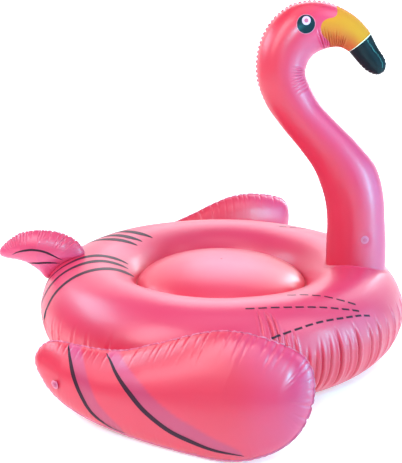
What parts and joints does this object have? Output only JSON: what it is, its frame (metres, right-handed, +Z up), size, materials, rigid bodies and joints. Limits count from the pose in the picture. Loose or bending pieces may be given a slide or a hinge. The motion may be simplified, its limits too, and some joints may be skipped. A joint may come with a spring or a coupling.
{
  "type": "inflatable pool float",
  "caption": "Giant inflatable bird pool float: fat ring with a domed seat, tall curved neck and head, side wings, upright tail and push-in air valves.",
  "frame": {"origin": "on the floor under the middle of the bounding box", "axes": "+X is the way the bird faces, +Y its left side, +Z up"},
  "size_m": [1.614, 2.0834, 1.3563],
  "materials": {
    "pink_vinyl": "satin inflated PVC film",
    "coral_vinyl": "satin inflated PVC film",
    "black_vinyl": "glossy inflated PVC film",
    "clear_vinyl": "satin inflated PVC film"
  },
  "bodies": {
    "float": {"ring_upper_panel": "pink_vinyl", "ring_lower_panel": "pink_vinyl", "seat_upper_panel": "coral_vinyl", "seat_lower_panel": "coral_vinyl", "neck_cuff": "pink_vinyl", "right_wing_tab": "coral_vinyl", "left_wing_tab": "coral_vinyl", "tail_tab": "pink_vinyl", "ring_valve_base": "clear_vinyl", "seat_valve_flange": "clear_vinyl"},
    "neck": {"neck_left_panel": "pink_vinyl", "neck_right_panel": "pink_vinyl", "beak_tip_left": "black_vinyl", "beak_tip_right": "black_vinyl", "neck_valve_flange": "clear_vinyl"},
    "right_wing": {"right_wing_outer_panel": "coral_vinyl", "right_wing_inner_panel": "coral_vinyl", "right_wing_valve_flange": "clear_vinyl"},
    "left_wing": {"left_wing_outer_panel": "coral_vinyl", "left_wing_inner_panel": "coral_vinyl", "left_wing_valve_flange": "clear_vinyl"},
    "tail": {"tail_left_panel": "pink_vinyl", "tail_right_panel": "pink_vinyl", "tail_valve_flange": "clear_vinyl"},
    "ring_valve_flap": {"ring_valve_flap": "clear_vinyl"},
    "ring_valve_cap": {"ring_valve_cap": "pink_vinyl"},
    "seat_valve_stem": {"seat_valve_stem": "clear_vinyl"},
    "seat_valve_plug": {"seat_valve_plug": "clear_vinyl"},
    "neck_valve_stem": {"neck_valve_stem": "clear_vinyl"},
    "neck_valve_plug": {"neck_valve_plug": "clear_vinyl"},
    "right_wing_valve_stem": {"right_wing_valve_stem": "clear_vinyl"},
    "right_wing_valve_plug": {"right_wing_valve_plug": "clear_vinyl"},
    "left_wing_valve_stem": {"left_wing_valve_stem": "clear_vinyl"},
    "left_wing_valve_plug": {"left_wing_valve_plug": "clear_vinyl"},
    "tail_valve_stem": {"tail_valve_stem": "clear_vinyl"},
    "tail_valve_plug": {"tail_valve_plug": "clear_vinyl"}
  },
  "joints": [
    {"name": "neck_bow", "type": "hinge", "parent": "float", "child": "neck", "pos_m": [0.619, 0, 0.355], "axis": [0, 1, 0], "range_deg": [-3.5, 3.5], "stiffness_Nm_per_rad": 150, "springref_deg": 0.69},
    {"name": "right_wing_flap", "type": "hinge", "parent": "float", "child": "right_wing", "pos_m": [-0.18421, -0.65799, 0.25259], "axis": [-0.9245, 0.3811, 0], "range_deg": [-2, 18], "stiffness_Nm_per_rad": 12},
    {"name": "left_wing_flap", "type": "hinge", "parent": "float", "child": "left_wing", "pos_m": [-0.18421, 0.65799, 0.25259], "axis": [0.9245, 0.3811, 0], "range_deg": [-2, 18], "stiffness_Nm_per_rad": 12},
    {"name": "tail_wag", "type": "hinge", "parent": "float", "child": "tail", "pos_m": [-0.547, 0, 0.319], "axis": [0.813, 0, 0.5823], "range_deg": [-10, 10], "stiffness_Nm_per_rad": 3},
    {"name": "ring_valve_cap_pull", "type": "slide", "parent": "float", "child": "ring_valve_cap", "axis": [0.3941, 0.3456, 0.8516], "range_m": [0, 0.02]},
    {"name": "ring_valve_flap_open", "type": "hinge", "parent": "float", "child": "ring_valve_flap", "pos_m": [0.53706, 0.42196, 0.311], "axis": [0.6403, 0.5615, -0.5242], "range_deg": [0, 50], "stiffness_Nm_per_rad": 0.02, "springref_deg": -17.19},
    {"name": "seat_valve_stem_pull", "type": "slide", "parent": "float", "child": "seat_valve_stem", "axis": [-0.0215, -0.3282, -0.9444], "range_m": [0, 0.008]},
    {"name": "seat_valve_plug_pull", "type": "slide", "parent": "seat_valve_stem", "child": "seat_valve_plug", "axis": [-0.0215, -0.3282, -0.9444], "range_m": [0, 0.012]},
    {"name": "neck_valve_stem_pull", "type": "slide", "parent": "neck", "child": "neck_valve_stem", "axis": [0.1949, -0.9798, 0.0442], "range_m": [0, 0.008]},
    {"name": "neck_valve_plug_pull", "type": "slide", "parent": "neck_valve_stem", "child": "neck_valve_plug", "axis": [0.1949, -0.9798, 0.0442], "range_m": [0, 0.012]},
    {"name": "right_wing_valve_stem_pull", "type": "slide", "parent": "right_wing", "child": "right_wing_valve_stem", "axis": [-0.6125, -0.7775, -0.143], "range_m": [0, 0.008]},
    {"name": "right_wing_valve_plug_pull", "type": "slide", "parent": "right_wing_valve_stem", "child": "right_wing_valve_plug", "axis": [-0.6125, -0.7775, -0.143], "range_m": [0, 0.012]},
    {"name": "left_wing_valve_stem_pull", "type": "slide", "parent": "left_wing", "child": "left_wing_valve_stem", "axis": [-0.6125, 0.7775, -0.143], "range_m": [0, 0.008]},
    {"name": "left_wing_valve_plug_pull", "type": "slide", "parent": "left_wing_valve_stem", "child": "left_wing_valve_plug", "axis": [-0.6125, 0.7775, -0.143], "range_m": [0, 0.012]},
    {"name": "tail_valve_stem_pull", "type": "slide", "parent": "tail", "child": "tail_valve_stem", "axis": [0.0475, 0.9756, -0.2144], "range_m": [0, 0.008]},
    {"name": "tail_valve_plug_pull", "type": "slide", "parent": "tail_valve_stem", "child": "tail_valve_plug", "axis": [0.0475, 0.9756, -0.2144], "range_m": [0, 0.012]}
  ]
}
